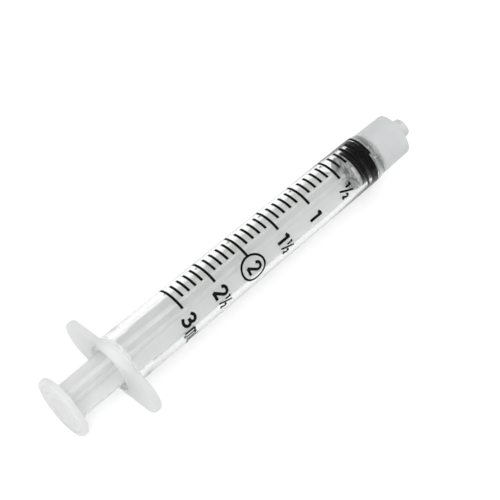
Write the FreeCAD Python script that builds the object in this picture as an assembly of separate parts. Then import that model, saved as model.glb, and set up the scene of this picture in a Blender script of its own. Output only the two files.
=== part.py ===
import FreeCAD, Part

import math
import os

from FreeCAD import Vector

# A 3 mL luer lock syringe of three pieces, lying on its side with the plunger pushed home:
# the moulded barrel, the rubber stopper inside it and the moulded plunger rod.
# Everything is drawn about the X axis, with the tip at +X and the scale's zero line at x = 0.
# place() then lays it down: the thumb rest's rim and the edge of one wing rest on z = 0,
# with the origin below the middle.

# Tube
BORE_D = 8.66
CAPACITY_ML = 3.0
FRONT_WALL = 0.88
REAR_WALL = 1.40
OVERTRAVEL = 6.0
BEAD_HEIGHT = 0.15
BEAD_WIDTH = 1.2
BEAD_RAMP = 0.4
BEAD_TO_MOUTH = 6.0
MOUTH_LEAD = 0.5

# Finger flange
FLANGE_SPAN = 27.4
FLANGE_T = 1.7
FLANGE_LEDGE = 0.3
FLANGE_FLARE = 0.9
FLANGE_EDGE = 0.4
WING_END_R = 4.9

# Nose: conical end wall, male taper and lock collar
CONE_DEG = 15.0
END_WALL = 1.3
SHOULDER_LENGTH = 2.2
SHOULDER_ROUND = 1.2
TIP_BORE_D = 2.0
TIP_END_D = 3.95
TIP_TAPER = 0.06
TIP_BEYOND_COLLAR = 2.75
TIP_EDGE = 0.25
COLLAR_DEPTH = 6.6
COLLAR_ROOT_D = 8.0
COLLAR_BASE_WALL = 0.82
COLLAR_MOUTH_WALL = 0.68
COLLAR_RIM = 0.3
COLLAR_INNER_RIM = 0.2

# Lock thread inside the collar
THREAD_STARTS = 2
THREAD_LEAD = 5.0
THREAD_CREST_D = 7.0
THREAD_ROOT_WIDTH = 1.2
THREAD_CREST_WIDTH = 0.5
THREAD_BURIED = 0.3
THREAD_FLOOR_GAP = 0.8
THREAD_MOUTH_GAP = 0.3

# Stopper
FRONT_RIB = 2.4
GROOVE = 0.5
REAR_RIB = 1.1
GROOVE_DEPTH = 0.45
RIB_ROUND = 0.2
CONE_BLUNT_D = 2.0

# Plunger rod
FIN_T = 1.1
FIN_EDGE = 0.25
CORE_D = 2.8
FRONT_DISC_T = 0.9
WAIST_LENGTH = 1.0
FIN_SLOPE_LENGTH = 2.6
FIN_FLARE = 1.2
NECK_D = 2.8
NECK_LENGTH = 1.2
HEAD_D = 4.6
HEAD_FRONT_D = 2.4
HEAD_LENGTH = 1.6
THUMB_D = 13.54
THUMB_T = 1.55
THUMB_EDGE = 0.4
THUMB_STANDOFF = 11.0
GRIP_RINGS = 3
GRIP_RING_PITCH = 1.5
GRIP_GROOVE_W = 0.5
GRIP_GROOVE_DEPTH = 0.2

# Running clearances
SEAL_CLEARANCE = 0.025
HOME_GAP = 0.25
STOP_GAP = 0.1
FIN_CLEARANCE = 0.13
HEAD_CLEARANCE = 0.06
PUSH_GAP = 0.05

# Radii that follow
bore_r = BORE_D / 2
tube_front_r = bore_r + FRONT_WALL
tube_rear_r = bore_r + REAR_WALL
inside_wall_r = (bore_r + tube_rear_r) / 2
bead_r = bore_r - BEAD_HEIGHT
stopper_r = bore_r - SEAL_CLEARANCE
fin_r = bead_r - FIN_CLEARANCE
tip_bore_r = TIP_BORE_D / 2
collar_root_r = COLLAR_ROOT_D / 2
collar_base_r = collar_root_r + COLLAR_BASE_WALL
collar_mouth_r = collar_root_r + COLLAR_MOUTH_WALL
thread_crest_r = THREAD_CREST_D / 2
thumb_r = THUMB_D / 2
flange_middle_r = tube_rear_r + FLANGE_LEDGE
wing_y = FLANGE_SPAN / 2 - WING_END_R
neck_r = NECK_D / 2
head_r = HEAD_D / 2
core_r = CORE_D / 2

# Stations along the axis that follow
cone_slope = math.tan(math.radians(CONE_DEG))
stopper_rear_x = -(FRONT_RIB + GROOVE + REAR_RIB)
ml_length = 1000 / (math.pi * bore_r ** 2)
stroke = CAPACITY_ML * ml_length + OVERTRAVEL
bead_front_x = stopper_rear_x - stroke - STOP_GAP
bead_rear_x = bead_front_x - BEAD_WIDTH
mouth_x = bead_rear_x - BEAD_TO_MOUTH
end_wall_x = HOME_GAP
tip_entry_x = end_wall_x + (bore_r - tip_bore_r) * cone_slope
floor_x = tip_entry_x + END_WALL
collar_mouth_x = floor_x + COLLAR_DEPTH
tip_x = collar_mouth_x + TIP_BEYOND_COLLAR
thumb_front_x = mouth_x - THUMB_STANDOFF
thumb_rear_x = thumb_front_x - THUMB_T
disc_front_x = stopper_rear_x - PUSH_GAP
disc_rear_x = disc_front_x - FRONT_DISC_T


def tube_r(x):
    """Outer radius of the tube, which tapers to the front."""
    return tube_front_r + (tube_rear_r - tube_front_r) * x / mouth_x


def tip_r(x):
    """Radius of the male taper at a station along the axis."""
    return TIP_END_D / 2 + (tip_x - x) * TIP_TAPER / 2


def rounded_outline(corners):
    """Closed wire through (x, r, rounding) corners, each corner with a tangent arc of its rounding."""
    points = [Vector(x, 0, r) for x, r, rounding in corners]
    edges = []
    arcs = []
    for i, (x, r, rounding) in enumerate(corners):
        corner = points[i]
        if not rounding:
            arcs.append((corner, corner, corner))
            continue
        back = (points[i - 1] - corner).normalize()
        ahead = (points[(i + 1) % len(points)] - corner).normalize()
        half = back.getAngle(ahead) / 2
        reach = rounding / math.tan(half)
        middle = (back + ahead).normalize() * (rounding / math.sin(half) - rounding)
        arcs.append((corner + back * reach, corner + middle, corner + ahead * reach))
    for i, (start, middle, end) in enumerate(arcs):
        previous_end = arcs[i - 1][2]
        edges.append(Part.LineSegment(previous_end, start).toShape())
        if corners[i][2]:
            edges.append(Part.Arc(start, middle, end).toShape())
    return Part.Wire(edges)


def turned(corners):
    """Solid of revolution about the syringe's axis from (x, r, rounding) corners."""
    face = Part.Face(rounded_outline(corners))
    return face.revolve(Vector(0, 0, 0), Vector(1, 0, 0), 360)


def barrel_body():
    """Tube, end wall, male taper and lock collar, turned as one wall."""
    tube = [
        (mouth_x, bore_r + MOUTH_LEAD, 0),
        (mouth_x + MOUTH_LEAD, bore_r, 0),
        (bead_rear_x, bore_r, 0),
        (bead_rear_x + BEAD_RAMP, bead_r, 0),
        (bead_front_x - BEAD_RAMP, bead_r, 0),
        (bead_front_x, bore_r, 0),
        (end_wall_x, bore_r, RIB_ROUND),
        (tip_entry_x, tip_bore_r, 0),
    ]
    nose = [
        (tip_x, tip_bore_r, 0),
        (tip_x, tip_r(tip_x), TIP_EDGE),
        (floor_x, tip_r(floor_x), TIP_EDGE),
        (floor_x, collar_root_r, TIP_EDGE),
        (collar_mouth_x, collar_root_r, COLLAR_INNER_RIM),
        (collar_mouth_x, collar_mouth_r, COLLAR_RIM),
        (SHOULDER_LENGTH, collar_base_r, 0),
    ]
    outside = [
        (0, tube_front_r, SHOULDER_ROUND),
        (mouth_x, tube_rear_r, 0),
    ]
    return turned(tube + nose + outside)


def flange_outline(x):
    """Outline of the two wings at a station: three circles, the middle one round the tube, joined by tangents."""
    lean = (flange_middle_r - WING_END_R) / wing_y
    rise = math.sqrt(1 - lean ** 2)
    middle_y, middle_z = flange_middle_r * lean, flange_middle_r * rise
    end_y, end_z = wing_y + WING_END_R * lean, WING_END_R * rise
    edges = []
    for side in (1, -1):
        top = Vector(x, -side * middle_y, side * middle_z)
        crown = Vector(x, 0, side * flange_middle_r)
        turn = Vector(x, side * middle_y, side * middle_z)
        wing_start = Vector(x, side * end_y, side * end_z)
        wing_tip = Vector(x, side * FLANGE_SPAN / 2, 0)
        wing_end = Vector(x, side * end_y, -side * end_z)
        back = Vector(x, side * middle_y, -side * middle_z)
        edges.append(Part.Arc(top, crown, turn).toShape())
        edges.append(Part.LineSegment(turn, wing_start).toShape())
        edges.append(Part.Arc(wing_start, wing_tip, wing_end).toShape())
        edges.append(Part.LineSegment(wing_end, back).toShape())
    return Part.Wire(edges)


def finger_flange():
    """Two-winged plate with rounded edges, and the flare that blends it into the tube."""
    face = Part.Face(flange_outline(mouth_x))
    plate = face.extrude(Vector(FLANGE_T, 0, 0))
    rim = [e for e in plate.Edges if e.BoundBox.XLength < FLANGE_T / 2]
    plate = plate.makeFillet(FLANGE_EDGE, rim)
    front_x = mouth_x + FLANGE_T
    flare_front_x = front_x + FLANGE_FLARE
    flare = turned([
        (front_x - FLANGE_EDGE, inside_wall_r, 0),
        (front_x - FLANGE_EDGE, tube_rear_r + FLANGE_FLARE, 0),
        (front_x, tube_rear_r + FLANGE_FLARE, 0),
        (flare_front_x, tube_r(flare_front_x), 0),
        (flare_front_x, inside_wall_r, 0),
    ])
    flare = flare.common(face.extrude(Vector(flare_front_x + FLANGE_FLARE - mouth_x, 0, 0)))
    hole = turned([
        (mouth_x - FLANGE_EDGE, 0, 0),
        (mouth_x - FLANGE_EDGE, inside_wall_r, 0),
        (flare_front_x, inside_wall_r, 0),
        (flare_front_x, 0, 0),
    ])
    return plate.cut(hole).fuse(flare)


def thread_rib(start_deg):
    """One start of the lock thread: a helical rib standing inwards from the collar's wall, faded out at both ends."""
    length = COLLAR_DEPTH + 2 * THREAD_ROOT_WIDTH
    helix = Part.makeHelix(THREAD_LEAD, length, collar_root_r)
    outer_r = collar_root_r + THREAD_BURIED
    section = Part.makePolygon([
        Vector(outer_r, 0, -THREAD_ROOT_WIDTH / 2),
        Vector(collar_root_r, 0, -THREAD_ROOT_WIDTH / 2),
        Vector(thread_crest_r, 0, -THREAD_CREST_WIDTH / 2),
        Vector(thread_crest_r, 0, THREAD_CREST_WIDTH / 2),
        Vector(collar_root_r, 0, THREAD_ROOT_WIDTH / 2),
        Vector(outer_r, 0, THREAD_ROOT_WIDTH / 2),
        Vector(outer_r, 0, -THREAD_ROOT_WIDTH / 2),
    ])
    rib = Part.Wire(helix).makePipeShell([section], True, True)
    rib.rotate(Vector(0, 0, 0), Vector(0, 0, 1), start_deg)
    rib.rotate(Vector(0, 0, 0), Vector(0, 1, 0), 90)
    rib.translate(Vector(floor_x - THREAD_ROOT_WIDTH, 0, 0))
    start_x = floor_x + THREAD_FLOOR_GAP
    end_x = collar_mouth_x - THREAD_MOUTH_GAP
    beyond_wall = 2 * THREAD_BURIED
    beyond_crest = collar_root_r - thread_crest_r + THREAD_BURIED
    zone = turned([
        (start_x - beyond_wall, collar_root_r + beyond_wall, 0),
        (start_x + beyond_crest, collar_root_r - beyond_crest, 0),
        (end_x - beyond_crest, collar_root_r - beyond_crest, 0),
        (end_x + beyond_wall, collar_root_r + beyond_wall, 0),
    ])
    return rib.common(zone)


def barrel():
    """The whole barrel, one moulding."""
    shape = barrel_body().fuse(finger_flange())
    for start in range(THREAD_STARTS):
        shape = shape.fuse(thread_rib(start * 360 / THREAD_STARTS))
    return shape.removeSplitter().Solids[0]


def stopper():
    """Rubber stopper: two sealing ribs with a groove between, a shallow cone in front, a socket for the rod's head."""
    groove_front_x = -FRONT_RIB
    groove_rear_x = groove_front_x - GROOVE
    blunt_r = CONE_BLUNT_D / 2
    socket_r = head_r + HEAD_CLEARANCE
    throat_r = neck_r + HEAD_CLEARANCE
    head_rear_x = disc_front_x + NECK_LENGTH
    socket_rear_x = head_rear_x - HEAD_CLEARANCE
    socket_front_x = head_rear_x + HEAD_LENGTH + HEAD_CLEARANCE
    return turned([
        (socket_front_x, 0, 0),
        (stopper_cone_x(blunt_r), 0, 0),
        (stopper_cone_x(blunt_r), blunt_r, 0),
        (0, stopper_r, RIB_ROUND),
        (groove_front_x, stopper_r, RIB_ROUND),
        (groove_front_x, stopper_r - GROOVE_DEPTH, 0),
        (groove_rear_x, stopper_r - GROOVE_DEPTH, 0),
        (groove_rear_x, stopper_r, RIB_ROUND),
        (stopper_rear_x, stopper_r, RIB_ROUND),
        (stopper_rear_x, throat_r, 0),
        (socket_rear_x, throat_r, 0),
        (socket_rear_x, socket_r, 0),
        (socket_front_x, HEAD_FRONT_D / 2 + HEAD_CLEARANCE, 0),
    ])


def stopper_cone_x(r):
    """Station of the stopper's conical front at a radius."""
    return (stopper_r - r) * cone_slope


def rod_core():
    """Snap head, neck, the disc that pushes the stopper, and the round core, turned in one."""
    head_rear_x = disc_front_x + NECK_LENGTH
    return turned([
        (thumb_front_x, 0, 0),
        (head_rear_x + HEAD_LENGTH, 0, 0),
        (head_rear_x + HEAD_LENGTH, HEAD_FRONT_D / 2, 0),
        (head_rear_x, head_r, 0),
        (head_rear_x, neck_r, 0),
        (disc_front_x, neck_r, 0),
        (disc_front_x, fin_r, 0),
        (disc_rear_x, fin_r, 0),
        (disc_rear_x, core_r, 0),
        (thumb_front_x, core_r, 0),
    ])


def fin_pair():
    """One flat blade of the cross: sloped up from the waist in front, flared into the thumb rest behind."""
    waist_x = disc_rear_x - WAIST_LENGTH
    slope_end_x = waist_x - FIN_SLOPE_LENGTH
    flare_x = thumb_front_x + FIN_FLARE
    half = [
        (waist_x, core_r - FIN_EDGE),
        (slope_end_x, fin_r),
        (flare_x, fin_r),
        (thumb_front_x, fin_r + FIN_FLARE),
    ]
    outline = [Vector(x, -FIN_T / 2, r) for x, r in half]
    outline += [Vector(x, -FIN_T / 2, -r) for x, r in reversed(half)]
    blade = Part.Face(Part.makePolygon(outline + outline[:1])).extrude(Vector(0, FIN_T, 0))
    long_edges = [e for e in blade.Edges if e.Length > THUMB_STANDOFF]
    return blade.makeFillet(FIN_EDGE, long_edges)


def thumb_rest():
    """Round pad with a rounded rim and concentric grip grooves on its outer face."""
    pad = turned([
        (thumb_rear_x, 0, 0),
        (thumb_rear_x, thumb_r, THUMB_EDGE),
        (thumb_front_x, thumb_r, THUMB_EDGE),
        (thumb_front_x, 0, 0),
    ])
    for ring in range(GRIP_RINGS):
        middle_r = thumb_r - THUMB_EDGE - (ring + 0.5) * GRIP_RING_PITCH
        groove = turned([
            (thumb_rear_x, middle_r - GRIP_GROOVE_W / 2, 0),
            (thumb_rear_x, middle_r + GRIP_GROOVE_W / 2, 0),
            (thumb_rear_x + GRIP_GROOVE_DEPTH, middle_r, 0),
        ])
        pad = pad.cut(groove)
    return pad


def plunger_rod():
    """The whole rod, one moulding: core, cross of two blades and thumb rest."""
    blade = fin_pair()
    crossing = blade.copy()
    crossing.rotate(Vector(0, 0, 0), Vector(1, 0, 0), 90)
    return rod_core().fuse([blade, crossing, thumb_rest()]).removeSplitter().Solids[0]


def place(shape, roll_deg):
    """Lay a piece down at the thumb rest's height, rolled about the axis as it lies."""
    lying = shape.rotated(Vector(0, 0, 0), Vector(1, 0, 0), -roll_deg)
    return lying.translated(Vector(-(tip_x + thumb_rear_x) / 2, 0, thumb_r))


# The +Y wing's edge is as low as the thumb rest's rim, and the rod's blades stand upright and level
barrel_roll_deg = math.degrees(math.asin((thumb_r - WING_END_R) / wing_y))
pieces = (
    ("barrel", barrel(), barrel_roll_deg),
    ("stopper", stopper(), 0),
    ("plunger_rod", plunger_rod(), 0),
)
os.makedirs("parts", exist_ok=True)
for name, shape, roll_deg in pieces:
    placed = place(shape, roll_deg)
    placed.exportStep(f"parts/{name}.step")
    print(name, placed.ShapeType, len(placed.Solids), "solid", placed.isValid(), round(placed.Volume, 2), "mm3")
print("stroke", round(stroke, 3), "mm, length", round(tip_x - thumb_rear_x, 3), "mm")
print("zero line at x", round(-(tip_x + thumb_rear_x) / 2, 3), "mm")
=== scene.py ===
import math

import bpy
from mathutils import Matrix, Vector


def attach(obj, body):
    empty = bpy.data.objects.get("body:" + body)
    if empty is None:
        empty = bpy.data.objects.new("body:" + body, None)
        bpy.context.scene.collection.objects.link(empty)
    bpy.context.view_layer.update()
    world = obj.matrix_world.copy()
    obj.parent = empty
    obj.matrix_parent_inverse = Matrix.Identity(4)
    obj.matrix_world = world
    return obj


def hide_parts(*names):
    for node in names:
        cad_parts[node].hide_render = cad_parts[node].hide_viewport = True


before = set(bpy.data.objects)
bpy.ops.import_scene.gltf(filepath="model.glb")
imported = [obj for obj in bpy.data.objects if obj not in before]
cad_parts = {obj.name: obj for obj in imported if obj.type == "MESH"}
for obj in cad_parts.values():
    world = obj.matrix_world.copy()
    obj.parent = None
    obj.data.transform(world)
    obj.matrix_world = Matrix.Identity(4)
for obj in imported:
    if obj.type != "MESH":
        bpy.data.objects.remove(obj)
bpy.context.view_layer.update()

# Table and daylight: a white sheet under and behind the syringe, with one soft lamp over it and pale
# light from all round. The sheet is lifted to white only where it is looked at, straight or through
# the plastic or in its gloss, so it lights the syringe as plain paper does and keeps its faint shadow.
sheet_size = 4
lift_to_white = 0.31
lamp_place = Vector((-0.2, -0.22, 0.55))


def new_material(name):
    """A new material, its node tree and its main shader."""
    material = bpy.data.materials.new(name)
    material.use_nodes = True
    return material, material.node_tree, material.node_tree.nodes["Principled BSDF"]


def maths(tree, operation, first, second):
    """Combines a value with another value or with a plain number."""
    node = tree.nodes.new("ShaderNodeMath")
    node.operation = operation
    tree.links.new(first, node.inputs[0])
    if isinstance(second, float):
        node.inputs[1].default_value = second
    else:
        tree.links.new(second, node.inputs[1])
    return node.outputs["Value"]


def ranged(tree, value, given, wanted):
    """Maps a value from the given range to the wanted one, and holds it at the ends."""
    node = tree.nodes.new("ShaderNodeMapRange")
    node.inputs["From Min"].default_value = given[0]
    node.inputs["From Max"].default_value = given[1]
    node.inputs["To Min"].default_value = wanted[0]
    node.inputs["To Max"].default_value = wanted[1]
    tree.links.new(value, node.inputs["Value"])
    return node.outputs["Result"]


bpy.ops.object.select_all(action="DESELECT")
bpy.ops.mesh.primitive_plane_add(size=sheet_size, location=(0, 0, 0))
table = bpy.context.object
table.name = "table"
white_table, tree, paper = new_material("white_table")
paper.inputs["Base Color"].default_value = (0.84, 0.84, 0.84, 1)
paper.inputs["Roughness"].default_value = 0.9
paper.inputs["Specular IOR Level"].default_value = 0.1
ray = tree.nodes.new("ShaderNodeLightPath")
seen_or_mirrored = maths(tree, "MAXIMUM", ray.outputs["Is Camera Ray"], ray.outputs["Is Glossy Ray"])
looked_at = maths(tree, "MAXIMUM", seen_or_mirrored, ray.outputs["Is Transmission Ray"])
glow = tree.nodes.new("ShaderNodeEmission")
glow.inputs["Color"].default_value = (1, 1, 1, 1)
tree.links.new(maths(tree, "MULTIPLY", looked_at, lift_to_white), glow.inputs["Strength"])
lifted_paper = tree.nodes.new("ShaderNodeAddShader")
tree.links.new(paper.outputs["BSDF"], lifted_paper.inputs[0])
tree.links.new(glow.outputs["Emission"], lifted_paper.inputs[1])
tree.links.new(lifted_paper.outputs["Shader"], tree.nodes["Material Output"].inputs["Surface"])
table.data.materials.append(white_table)

world = bpy.data.worlds.new("room")
world.use_nodes = True
bpy.context.scene.world = world
tree = world.node_tree
towards = tree.nodes.new("ShaderNodeTexCoord")
height = tree.nodes.new("ShaderNodeSeparateXYZ")
tree.links.new(towards.outputs["Generated"], height.inputs["Vector"])
daylight = tree.nodes["Background"]
daylight.inputs["Color"].default_value = (1, 1, 1, 1)
tree.links.new(ranged(tree, height.outputs["Z"], (0.05, 0.4), (0.85, 0.95)), daylight.inputs["Strength"])

soft_light = bpy.data.lights.new("soft_light", "AREA")
soft_light.shape = "DISK"
soft_light.size = 0.3
soft_light.energy = 0.8
soft_lamp = bpy.data.objects.new("soft_lamp", soft_light)
bpy.context.scene.collection.objects.link(soft_lamp)
soft_lamp.location = lamp_place
soft_lamp.rotation_euler = lamp_place.to_track_quat("Z", "Y").to_euler()
bpy.context.scene.view_settings.view_transform = "Standard"

# Camera: above and behind the plunger's side, as the photograph was taken, with a long lens.
camera_data = bpy.data.cameras.new("camera")
camera_data.lens = 151.83
camera_data.sensor_width = 36
camera_data.clip_start = 0.01
camera = bpy.data.objects.new("camera", camera_data)
bpy.context.scene.collection.objects.link(camera)
camera.location = (-0.13276, -0.15487, 0.37038)
camera.rotation_euler = (math.radians(29.606), math.radians(1.096), math.radians(-43.235))
bpy.context.scene.camera = camera

# Barrel: one moulding of clear, slightly milky polypropylene. The tube, the end wall, the luer tip
# and the lock collar are turned from one wall, drawn in millimetres from the scale's zero line. The
# flange and the two starts of the collar's thread are joined to it.
zero_line = 34.495
axis_height = 6.77
lying_roll = math.radians(12.269)
around_axis = 192
mouth_x = -68.23
bead_x = -61.63
tip_entry_x = 1.142
floor_x = 2.442
collar_mouth_x = 9.042
tip_x = 11.79
bore_r = 4.33
bead_r = 4.18
tip_bore_r = 1.0
collar_root_r = 4.0
tube_front_r = 5.21
tube_widening = 0.00762
tube_rings = (-45, -30, -15)
tube_end_x = -65.63
flange_thickness = 1.7
flange_middle_r = 6.03
flange_hole_r = 5.3
wing_y = 8.8
wing_r = 4.9
thread_start = 3.24
thread_length = 5.5
thread_lead = 5.0
thread_fade = 0.7
thread_crest = (0.25, 3.5)
thread_root = (0.81, 4.3)


def tube_r(x):
    """Outer radius of the tube, which widens towards the flange."""
    return tube_front_r - tube_widening * x


def picked(piece):
    """Selects the piece alone and makes it the active one."""
    bpy.ops.object.select_all(action="DESELECT")
    piece.select_set(True)
    bpy.context.view_layer.objects.active = piece


def turned(name, stations):
    """A ring of the first station's radius, extruded from station to station (x, r) along the axis."""
    bpy.ops.object.select_all(action="DESELECT")
    bpy.ops.mesh.primitive_circle_add(
        vertices=around_axis, radius=stations[0][1], rotation=(0, math.pi / 2, 0)
    )
    bpy.ops.object.transform_apply(location=False, rotation=True, scale=False)
    piece = bpy.context.object
    piece.name = name
    bpy.ops.object.mode_set(mode="EDIT")
    bpy.ops.mesh.select_all(action="SELECT")
    bpy.ops.transform.translate(value=(stations[0][0], 0, 0))
    for (x, r), (next_x, next_r) in zip(stations, stations[1:]):
        bpy.ops.mesh.extrude_region_move(TRANSFORM_OT_translate={"value": (next_x - x, 0, 0)})
        bpy.ops.transform.resize(value=(1, next_r / r, next_r / r), center_override=(0, 0, 0))
    bpy.ops.mesh.select_all(action="SELECT")
    bpy.ops.mesh.remove_doubles(threshold=0.001)
    bpy.ops.mesh.normals_make_consistent(inside=False)
    bpy.ops.object.mode_set(mode="OBJECT")
    return piece


def filled(piece):
    """Closes the piece's open ends."""
    picked(piece)
    bpy.ops.object.mode_set(mode="EDIT")
    bpy.ops.mesh.select_all(action="SELECT")
    bpy.ops.mesh.fill_holes(sides=0)
    bpy.ops.mesh.normals_make_consistent(inside=False)
    bpy.ops.object.mode_set(mode="OBJECT")


def joined(piece, other, operation):
    """Adds the other mesh to the piece, or cuts it away, and removes the other."""
    join = piece.modifiers.new("join", "BOOLEAN")
    join.operation = operation
    join.object = other
    join.solver = "EXACT"
    picked(piece)
    bpy.ops.object.modifier_apply(modifier="join")
    bpy.data.objects.remove(other)


def laid_down(piece, roll):
    """Rolls the piece about the axis, moves it to where it lies and takes it from millimetres to metres."""
    piece.rotation_euler = (-roll, 0, 0)
    piece.scale = (0.001, 0.001, 0.001)
    piece.location = (zero_line / 1000, 0, axis_height / 1000)
    picked(piece)
    bpy.ops.object.transform_apply(location=True, rotation=True, scale=True)
    bpy.ops.object.shade_smooth_by_angle(angle=math.radians(32))


inside = [
    (mouth_x, 4.83), (mouth_x + 0.5, bore_r),
    (bead_x - 0.6, bore_r), (bead_x - 0.2, bead_r), (bead_x + 0.2, bead_r), (bead_x + 0.6, bore_r),
]
inside += [(x, bore_r) for x in tube_rings]
inside += [(0.05, bore_r), (0.15, 4.3), (0.25, 4.2), (tip_entry_x, tip_bore_r)]
tip = [
    (tip_x, tip_bore_r), (tip_x, 1.54), (tip_x - 0.03, 1.71), (tip_x - 0.13, 1.86), (tip_x - 0.28, 1.954),
    (tip_x - 0.45, 1.988), (2.69, 2.248), (2.51, 2.3), (floor_x, 2.45),
]
collar = [
    (floor_x, 3.8), (2.51, 3.94), (2.69, collar_root_r), (8.85, collar_root_r), (8.99, 4.07),
    (collar_mouth_x, 4.2), (collar_mouth_x, 4.4), (8.95, 4.6), (8.75, 4.685), (2.9, 4.8),
]
outside = [(2.2, 4.83), (1.5, 4.93), (0.7, 5.07), (0, 5.18), (-0.7, 5.215)]
outside += [(x, round(tube_r(x), 3)) for x in (*reversed(tube_rings), tube_end_x)]
outside += [
    (-66.05, 5.79), (-66.4, 5.95), (-66.6, 6.0), (-67.6, 6.0), (-67.8, 5.5), (-67.8, 5.0), (mouth_x, 4.83),
]
barrel = turned("barrel_moulding", inside + tip + collar + outside)

flange_x = mouth_x + flange_thickness / 2
bpy.ops.object.select_all(action="DESELECT")
bpy.ops.mesh.primitive_cylinder_add(
    vertices=128,
    radius=flange_middle_r,
    depth=flange_thickness,
    location=(flange_x, 0, 0),
    rotation=(0, math.pi / 2, 0),
)
flange = bpy.context.object
bpy.ops.object.mode_set(mode="EDIT")
for side_y in (wing_y, -wing_y):
    bpy.ops.mesh.primitive_cylinder_add(
        vertices=128,
        radius=wing_r,
        depth=flange_thickness,
        location=(flange_x, side_y, 0),
        rotation=(0, math.pi / 2, 0),
    )
bpy.ops.mesh.select_all(action="SELECT")
bpy.ops.mesh.convex_hull()
bpy.ops.mesh.select_all(action="SELECT")
bpy.ops.mesh.dissolve_limited(angle_limit=math.radians(1))
bpy.ops.object.mode_set(mode="OBJECT")
rounding = flange.modifiers.new("rounding", "BEVEL")
rounding.width = 0.4
rounding.segments = 3
rounding.limit_method = "ANGLE"
rounding.angle_limit = math.radians(60)
picked(flange)
bpy.ops.object.modifier_apply(modifier="rounding")
hole = turned("hole", [(-70, 0.01), (-70, flange_hole_r), (-64, flange_hole_r), (-64, 0.01)])
filled(hole)
joined(flange, hole, "DIFFERENCE")
joined(barrel, flange, "UNION")

# The thread's section is an outline of four corners, wound along the axis. Its crest sinks towards the
# collar's wall at both ends, where the moulded thread runs out.
crest_half, crest_r = thread_crest
root_half, root_r = thread_root
middle_r = (crest_r + root_r) / 2
bpy.ops.object.select_all(action="DESELECT")
bpy.ops.mesh.primitive_plane_add(size=1, location=(0, 0, middle_r), rotation=(math.pi / 2, 0, 0))
bpy.ops.object.transform_apply(location=True, rotation=True, scale=True)
thread = bpy.context.object
for v in thread.data.vertices:
    is_crest = v.co.z < middle_r
    v.co.z = crest_r if is_crest else root_r
    v.co.x = math.copysign(crest_half if is_crest else root_half, v.co.x)
bpy.ops.object.mode_set(mode="EDIT")
bpy.ops.mesh.select_all(action="SELECT")
bpy.ops.mesh.delete(type="ONLY_FACE")
bpy.ops.object.mode_set(mode="OBJECT")
winding = thread.modifiers.new("winding", "SCREW")
winding.axis = "X"
winding.angle = 2 * math.pi * thread_length / thread_lead
winding.screw_offset = thread_length
winding.steps = 106
winding.render_steps = 106
bpy.ops.object.modifier_apply(modifier="winding")
for v in thread.data.vertices:
    wall_r = math.hypot(v.co.y, v.co.z)
    turn = math.atan2(-v.co.y, v.co.z) % (2 * math.pi)
    along = turn / (2 * math.pi) * thread_lead
    if v.co.x - along > thread_lead / 2:
        along += thread_lead
    faded = min(1, along / thread_fade, (thread_length - along) / thread_fade)
    kept = (root_r - (root_r - wall_r) * max(faded, 0.15)) / wall_r
    v.co.y *= kept
    v.co.z *= kept
    v.co.x += thread_start
filled(thread)
second_start = thread.copy()
second_start.data = thread.data.copy()
bpy.context.scene.collection.objects.link(second_start)
second_start.rotation_euler = (math.pi, 0, 0)
joined(barrel, thread, "UNION")
joined(barrel, second_start, "UNION")
laid_down(barrel, lying_roll)
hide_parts("barrel")
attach(barrel, "barrel")


def noise(tree, where, scale, detail):
    """Cloudy noise on the piece's own coordinates."""
    node = tree.nodes.new("ShaderNodeTexNoise")
    node.inputs["Scale"].default_value = scale
    node.inputs["Detail"].default_value = detail
    tree.links.new(where, node.inputs["Vector"])
    return node


def shaded(tree, value, low, high, positions=(0, 1)):
    """A colour that runs from the first to the second as the value grows between two positions."""
    ramp = tree.nodes.new("ShaderNodeValToRGB")
    for element, position, colour in zip(ramp.color_ramp.elements, positions, (low, high)):
        element.position = position
        element.color = (*colour, 1)
    tree.links.new(value, ramp.inputs["Fac"])
    return ramp.outputs["Color"]


def mixed(tree, share, base, other):
    """A colour with a share of another one mixed in."""
    mix = tree.nodes.new("ShaderNodeMix")
    mix.data_type = "RGBA"
    mix.inputs["B"].default_value = (*other, 1)
    tree.links.new(share, mix.inputs["Factor"])
    tree.links.new(base, mix.inputs["A"])
    return mix.outputs["Result"]


def bumped(tree, shader, height, distance):
    """Raises the shader's surface by a pattern, up to a distance in metres."""
    bump = tree.nodes.new("ShaderNodeBump")
    bump.inputs["Distance"].default_value = distance
    tree.links.new(height, bump.inputs["Height"])
    tree.links.new(bump.outputs["Normal"], shader.inputs["Normal"])
    return bump


clear_plastic, tree, wall = new_material("clear_polypropylene")
wall.inputs["IOR"].default_value = 1.49
wall.inputs["Specular Tint"].default_value = (0.17, 0.17, 0.17, 1)
where = tree.nodes.new("ShaderNodeTexCoord").outputs["Object"]
along_axis = tree.nodes.new("ShaderNodeSeparateXYZ")
tree.links.new(where, along_axis.inputs["Vector"])
nose_part = ranged(tree, along_axis.outputs["X"], (0.0358, 0.0370), (0, 1))
flange_part = ranged(tree, along_axis.outputs["X"], (-0.0302, -0.0320), (0, 1))
frosted = maths(tree, "MAXIMUM", nose_part, flange_part)
cloudy = shaded(tree, frosted, (0.985, 0.99, 0.985), (0.93, 0.935, 0.94))
# Painted shade in part: the nose's base is mixed darker grey than the flange's, partly for its frosted
# plastic and partly as shade painted over its lit top
nose_grey_and_painted_shade = mixed(tree, nose_part, cloudy, (0.76, 0.77, 0.775))
tree.links.new(nose_grey_and_painted_shade, wall.inputs["Base Color"])
mould_finish = ranged(tree, frosted, (0, 1), (0.04, 0.38))
flow = noise(tree, where, 420, 4)
uneven_finish = maths(tree, "MULTIPLY", flow.outputs["Fac"], 0.1)
tree.links.new(maths(tree, "ADD", uneven_finish, mould_finish), wall.inputs["Roughness"])
tree.links.new(ranged(tree, frosted, (0, 1), (1.0, 0.4)), wall.inputs["Transmission Weight"])
spark_grain = noise(tree, where, 2600, 3)
grain = bumped(tree, wall, spark_grain.outputs["Fac"], 0.00006)
tree.links.new(ranged(tree, frosted, (0, 1), (0.04, 0.3)), grain.inputs["Strength"])
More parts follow.
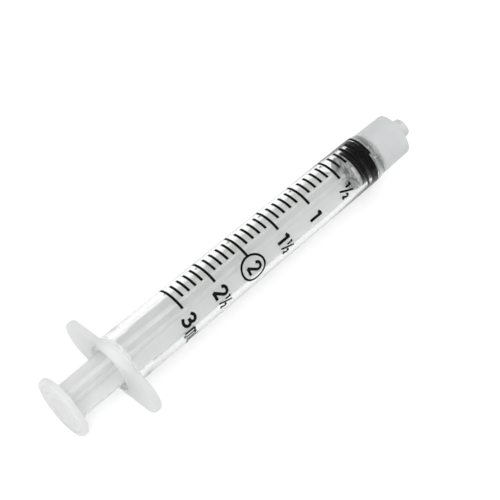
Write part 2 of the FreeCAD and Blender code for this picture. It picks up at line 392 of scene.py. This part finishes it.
depth_tint = tree.nodes.new("ShaderNodeVolumeAbsorption")
depth_tint.inputs["Color"].default_value = (0.62, 0.64, 0.63, 1)
depth_tint.inputs["Density"].default_value = 95
tree.links.new(depth_tint.outputs["Volume"], tree.nodes["Material Output"].inputs["Volume"])

# Light passes the wall to the table straight, and less of it where the wall is seen edge on
passing = tree.nodes.new("ShaderNodeBsdfTransparent")
edge = tree.nodes.new("ShaderNodeLayerWeight")
edge.inputs["Blend"].default_value = 0.3
edge_shade = ranged(tree, edge.outputs["Facing"], (0.45, 0.9), (1.0, 0.1))
tree.links.new(edge_shade, passing.inputs["Color"])
ray = tree.nodes.new("ShaderNodeLightPath")
shadow_or_wall = tree.nodes.new("ShaderNodeMixShader")
tree.links.new(ray.outputs["Is Shadow Ray"], shadow_or_wall.inputs["Fac"])
tree.links.new(wall.outputs["BSDF"], shadow_or_wall.inputs[1])
tree.links.new(passing.outputs["BSDF"], shadow_or_wall.inputs[2])
tree.links.new(shadow_or_wall.outputs["Shader"], tree.nodes["Material Output"].inputs["Surface"])
barrel.data.materials.clear()
barrel.data.materials.append(clear_plastic)

# Stopper: moulded black rubber, snapped over the rod's head. Its two ribs press on the bore, so they
# are drawn a hundredth of a millimetre into the wall, and a film of silicone oil makes them shine.
rib_r = 4.34
rib_edge_r = 4.18
groove_r = 3.9
groove_x = -2.1
groove_width = 0.4
stopper_rear_x = -4.0
stopper = turned("stopper_rubber", [
    (1.1, 0.01), (0.893, 1.0), (0.06, rib_edge_r), (-0.05, 4.31), (-0.2, rib_r), (-1.9, rib_r), (-2.05, 4.3),
    (groove_x, rib_edge_r), (groove_x, groove_r),
    (groove_x - groove_width, groove_r), (groove_x - groove_width, rib_edge_r),
    (-2.55, 4.3), (-2.7, rib_r), (-3.2, rib_r), (-3.35, 4.28), (-3.45, 4.1), (-3.85, 3.65),
    (stopper_rear_x, 3.55), (stopper_rear_x, 0.01),
])
laid_down(stopper, 0)
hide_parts("stopper")
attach(stopper, "stopper")

black_rubber, tree, rubber = new_material("black_rubber")
rubber.inputs["Base Color"].default_value = (0.003, 0.003, 0.003, 1)
rubber.inputs["Specular IOR Level"].default_value = 0.02
where = tree.nodes.new("ShaderNodeTexCoord").outputs["Object"]
oil_film = noise(tree, where, 600, 4)
oily_or_dry = ranged(tree, oil_film.outputs["Fac"], (0.35, 0.65), (0.22, 0.48))
tree.links.new(oily_or_dry, rubber.inputs["Roughness"])
rubber_grain = noise(tree, where, 4200, 2)
bumped(tree, rubber, rubber_grain.outputs["Fac"], 0.00004).inputs["Strength"].default_value = 0.25
stopper.data.materials.clear()
stopper.data.materials.append(black_rubber)

# Plunger rod: one moulding of milky polypropylene, a cross of two blades between the disc that pushes
# the stopper and the thumb rest. It is thicker than the barrel and so nearly white, with a satin
# mould finish that catches a soft shine.
plunger_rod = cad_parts["plunger_rod"]
milky_plastic, tree, milk = new_material("milky_polypropylene")
milk.inputs["Transmission Weight"].default_value = 0.3
milk.inputs["IOR"].default_value = 1.49
milk.inputs["Subsurface Weight"].default_value = 0.8
milk.inputs["Subsurface Radius"].default_value = (0.004, 0.004, 0.004)
milk.inputs["Subsurface Scale"].default_value = 1.0
where = tree.nodes.new("ShaderNodeTexCoord").outputs["Object"]
cloudiness = noise(tree, where, 260, 3)
milk_shade = shaded(
    tree, cloudiness.outputs["Fac"], (0.87, 0.875, 0.88), (0.92, 0.925, 0.925), positions=(0.3, 0.7)
)
satin = ranged(tree, cloudiness.outputs["Fac"], (0, 1), (0.27, 0.47))
tree.links.new(satin, milk.inputs["Roughness"])
mould_grain = noise(tree, where, 2600, 3)
bumped(tree, milk, mould_grain.outputs["Fac"], 0.00005).inputs["Strength"].default_value = 0.2

# Close behind the stopper the rod's colour carries grey ripples of painted shade and painted reflection, for
# the shadowed waist and the rubber seen bent in the plastic
along_axis = tree.nodes.new("ShaderNodeSeparateXYZ")
tree.links.new(where, along_axis.inputs["Vector"])
near_rubber = ranged(tree, along_axis.outputs["X"], (0.0262, 0.0292), (0, 1))
ripples = noise(tree, where, 620, 2)
ripples.inputs["Distortion"].default_value = 1.5
painted_ripple_shade = ranged(tree, ripples.outputs["Fac"], (0.42, 0.62), (0.15, 0.9))
painted_rubber_shade = maths(tree, "MULTIPLY", near_rubber, painted_ripple_shade)
# Painted shade: the rod's milky colour is mixed towards dark grey in these ripples
rod_with_painted_shade = mixed(tree, painted_rubber_shade, milk_shade, (0.16, 0.16, 0.165))
tree.links.new(rod_with_painted_shade, milk.inputs["Base Color"])
for slot in plunger_rod.material_slots:
    slot.material = milky_plastic

# Scale: black ink printed on the outside of the tube, a line for each tenth of a millilitre with a
# longer one and a number at each half. The print stands 0.02 mm proud, wrapped round the tube's taper.
ml_length = 16.98
long_line = (-52, 23.4)
short_line = (-38.5, 4.5)
line_width = 0.57
print_r = 5.4
ink_proud = 0.02
strip_width = 0.35
ink, tree, ink_film = new_material("black_ink")
ink_film.inputs["Specular IOR Level"].default_value = 0.06
where = tree.nodes.new("ShaderNodeTexCoord").outputs["Object"]
ink_cover = noise(tree, where, 3200, 3).outputs["Fac"]
ink_shade = shaded(tree, ink_cover, (0.002, 0.002, 0.002), (0.009, 0.0088, 0.0085), positions=(0.35, 0.72))
tree.links.new(ink_shade, ink_film.inputs["Base Color"])
tree.links.new(ranged(tree, ink_cover, (0, 1), (0.4, 0.65)), ink_film.inputs["Roughness"])
bumped(tree, ink_film, ink_cover, 0.00003).inputs["Strength"].default_value = 0.2


def flat_y(degrees):
    """Where a place that many degrees round from the top lies on the flat print."""
    return -math.radians(degrees) * print_r


def wrapped(piece):
    """Cuts the flat print into strips and wraps it: x stays, and -y runs round the tube from the top."""
    picked(piece)
    bpy.ops.object.mode_set(mode="EDIT")
    lowest = min(v.co.y for v in piece.data.vertices)
    highest = max(v.co.y for v in piece.data.vertices)
    cut = lowest + strip_width
    while cut < highest:
        bpy.ops.mesh.select_all(action="SELECT")
        bpy.ops.mesh.bisect(plane_co=(0, cut, 0), plane_no=(0, 1, 0))
        cut += strip_width
    bpy.ops.object.mode_set(mode="OBJECT")
    for v in piece.data.vertices:
        ink_r = tube_r(v.co.x) + ink_proud
        turn = -v.co.y / print_r
        v.co = Vector((v.co.x, -ink_r * math.sin(turn), ink_r * math.cos(turn)))
    laid_down(piece, 0)
    piece.data.materials.clear()
    piece.data.materials.append(ink)
    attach(piece, "barrel")


bpy.ops.object.select_all(action="DESELECT")
bpy.ops.mesh.primitive_plane_add(size=1)
scale_lines = bpy.context.object
scale_lines.name = "scale_lines"
bpy.ops.object.mode_set(mode="EDIT")
bpy.ops.mesh.select_all(action="SELECT")
bpy.ops.mesh.delete(type="VERT")
for tenth in range(31):
    start, end = long_line if tenth % 5 == 0 else short_line
    middle = (-tenth * ml_length / 10, (flat_y(start) + flat_y(end)) / 2, 0)
    bpy.ops.mesh.primitive_plane_add(size=1, location=middle)
    bpy.ops.transform.resize(value=(line_width, flat_y(start) - flat_y(end), 1), center_override=middle)
bpy.ops.object.mode_set(mode="OBJECT")
wrapped(scale_lines)

# Numbers: drawn with a round pen like the engraved plate they are printed from, each as pen strokes in
# units of a number's height, then cut flat. They read round the tube with their tops to the tip.
number_height = 2.86
number_foot = 1.7
unit_foot = 2.28
whole_pen = 0.68
half_pen = 0.42
unit_pen = 0.46
cut_height = 0.003
pen_strokes = {
    "1": [[(0.3, -0.05), (0.3, 1.04)], [(0.3, 0.97), (0.02, 0.84)]],
    "2": [
        [(0.04, 0.74), (0.12, 0.93), (0.34, 1), (0.57, 0.9), (0.6, 0.68), (0.4, 0.42), (0.04, 0)],
        [(0.02, 0), (0.66, 0)],
    ],
    "3": [
        [(0.02, 0.84), (0.28, 1), (0.58, 0.84), (0.52, 0.6), (0.24, 0.53)],
        [(0.24, 0.53), (0.6, 0.44), (0.64, 0.18), (0.34, 0), (0, 0.14)],
    ],
    "half": [
        [(0.25, 0.58), (0.25, 1.07)],
        [(0.25, 1.03), (0.08, 0.95)],
        [(0.25, 0), (0.76, 1.07)],
        [(0.69, 0.38), (0.74, 0.48), (0.84, 0.5), (0.92, 0.41), (0.88, 0.27), (0.68, 0.04)],
        [(0.67, 0.04), (0.97, 0.04)],
    ],
    "m": [
        [(0, -0.04), (0, 0.86)],
        [(0, 0.62), (0.08, 0.8), (0.2, 0.8), (0.28, 0.6), (0.28, -0.04)],
        [(0.28, 0.62), (0.36, 0.8), (0.48, 0.8), (0.56, 0.6), (0.56, -0.04)],
    ],
    "L": [[(0, 1.08), (0, 0)], [(-0.06, 0), (0.42, 0)]],
}

# Each sign with its millilitres, the degrees round from the top where it begins, how far it is
# narrowed, its pen's width and how far its foot stands behind the line
number_places = (
    ("half", 0.5, 39, 1, 0.48, number_foot),
    ("1", 1, 46.5, 1, whole_pen, number_foot),
    ("1", 1.5, 39.5, 1, whole_pen, number_foot),
    ("half", 1.5, 56.5, 0.74, half_pen, number_foot),
    ("2", 2, 44.8, 0.94, 0.62, 1.5),
    ("2", 2.5, 38, 1, whole_pen, number_foot),
    ("half", 2.5, 62.5, 0.7, half_pen, number_foot),
    ("3", 3, 39.5, 1, whole_pen, number_foot),
    ("m", 3, 71.7, 1, unit_pen, unit_foot),
    ("L", 3, 95.5, 1, unit_pen, unit_foot),
)
prints = []
for sign, millilitres, first_turn, narrowed, pen, foot in number_places:
    curve = bpy.data.curves.new("pen_strokes", "CURVE")
    curve.dimensions = "3D"
    curve.bevel_depth = pen / 2
    curve.use_fill_caps = True
    for stroke in pen_strokes[sign]:
        spline = curve.splines.new("BEZIER")
        spline.bezier_points.add(len(stroke) - 1)
        for point, (across, up) in zip(spline.bezier_points, stroke):
            point.co = (across * number_height * narrowed, up * number_height, 0)
            point.handle_left_type = "AUTO"
            point.handle_right_type = "AUTO"
    number = bpy.data.objects.new("number", curve)
    bpy.context.scene.collection.objects.link(number)
    picked(number)
    bpy.ops.object.convert(target="MESH")
    number = bpy.context.object
    run_together = number.modifiers.new("run_together", "REMESH")
    run_together.mode = "VOXEL"
    run_together.voxel_size = 0.04
    bpy.ops.object.modifier_apply(modifier="run_together")
    bpy.ops.object.mode_set(mode="EDIT")
    bpy.ops.mesh.select_all(action="SELECT")
    bpy.ops.mesh.bisect(
        plane_co=(0, 0, cut_height), plane_no=(0, 0, 1), use_fill=True, clear_inner=True, clear_outer=True
    )
    bpy.ops.object.mode_set(mode="OBJECT")
    number.rotation_euler = (0, 0, -math.pi / 2)
    number.location = (-millilitres * ml_length - foot, flat_y(first_turn), -cut_height)
    bpy.ops.object.transform_apply(location=True, rotation=True, scale=True)
    prints.append(number)

ring_along = 2.99
ring_around = 2.76
ring_pen = 0.47
ring_turn = 52.4
ring_behind = 0.26
inner_along = (ring_along - ring_pen) / ring_along
inner_around = (ring_around - ring_pen) / ring_around
bpy.ops.object.select_all(action="DESELECT")
bpy.ops.mesh.primitive_circle_add(vertices=96, radius=1)
ring = bpy.context.object
bpy.ops.object.mode_set(mode="EDIT")
bpy.ops.mesh.select_all(action="SELECT")
bpy.ops.transform.resize(value=(ring_along, ring_around, 1), center_override=(0, 0, 0))
bpy.ops.mesh.extrude_region_move()
bpy.ops.transform.resize(value=(inner_along, inner_around, 1), center_override=(0, 0, 0))
bpy.ops.object.mode_set(mode="OBJECT")
ring.location = (-2 * ml_length - ring_behind, flat_y(ring_turn), 0)
bpy.ops.object.transform_apply(location=True, rotation=True, scale=True)
prints.append(ring)
bpy.ops.object.select_all(action="DESELECT")
for number in prints:
    number.select_set(True)
bpy.context.view_layer.objects.active = prints[0]
bpy.ops.object.join()
scale_numbers = bpy.context.object
scale_numbers.name = "scale_numbers"
wrapped(scale_numbers)
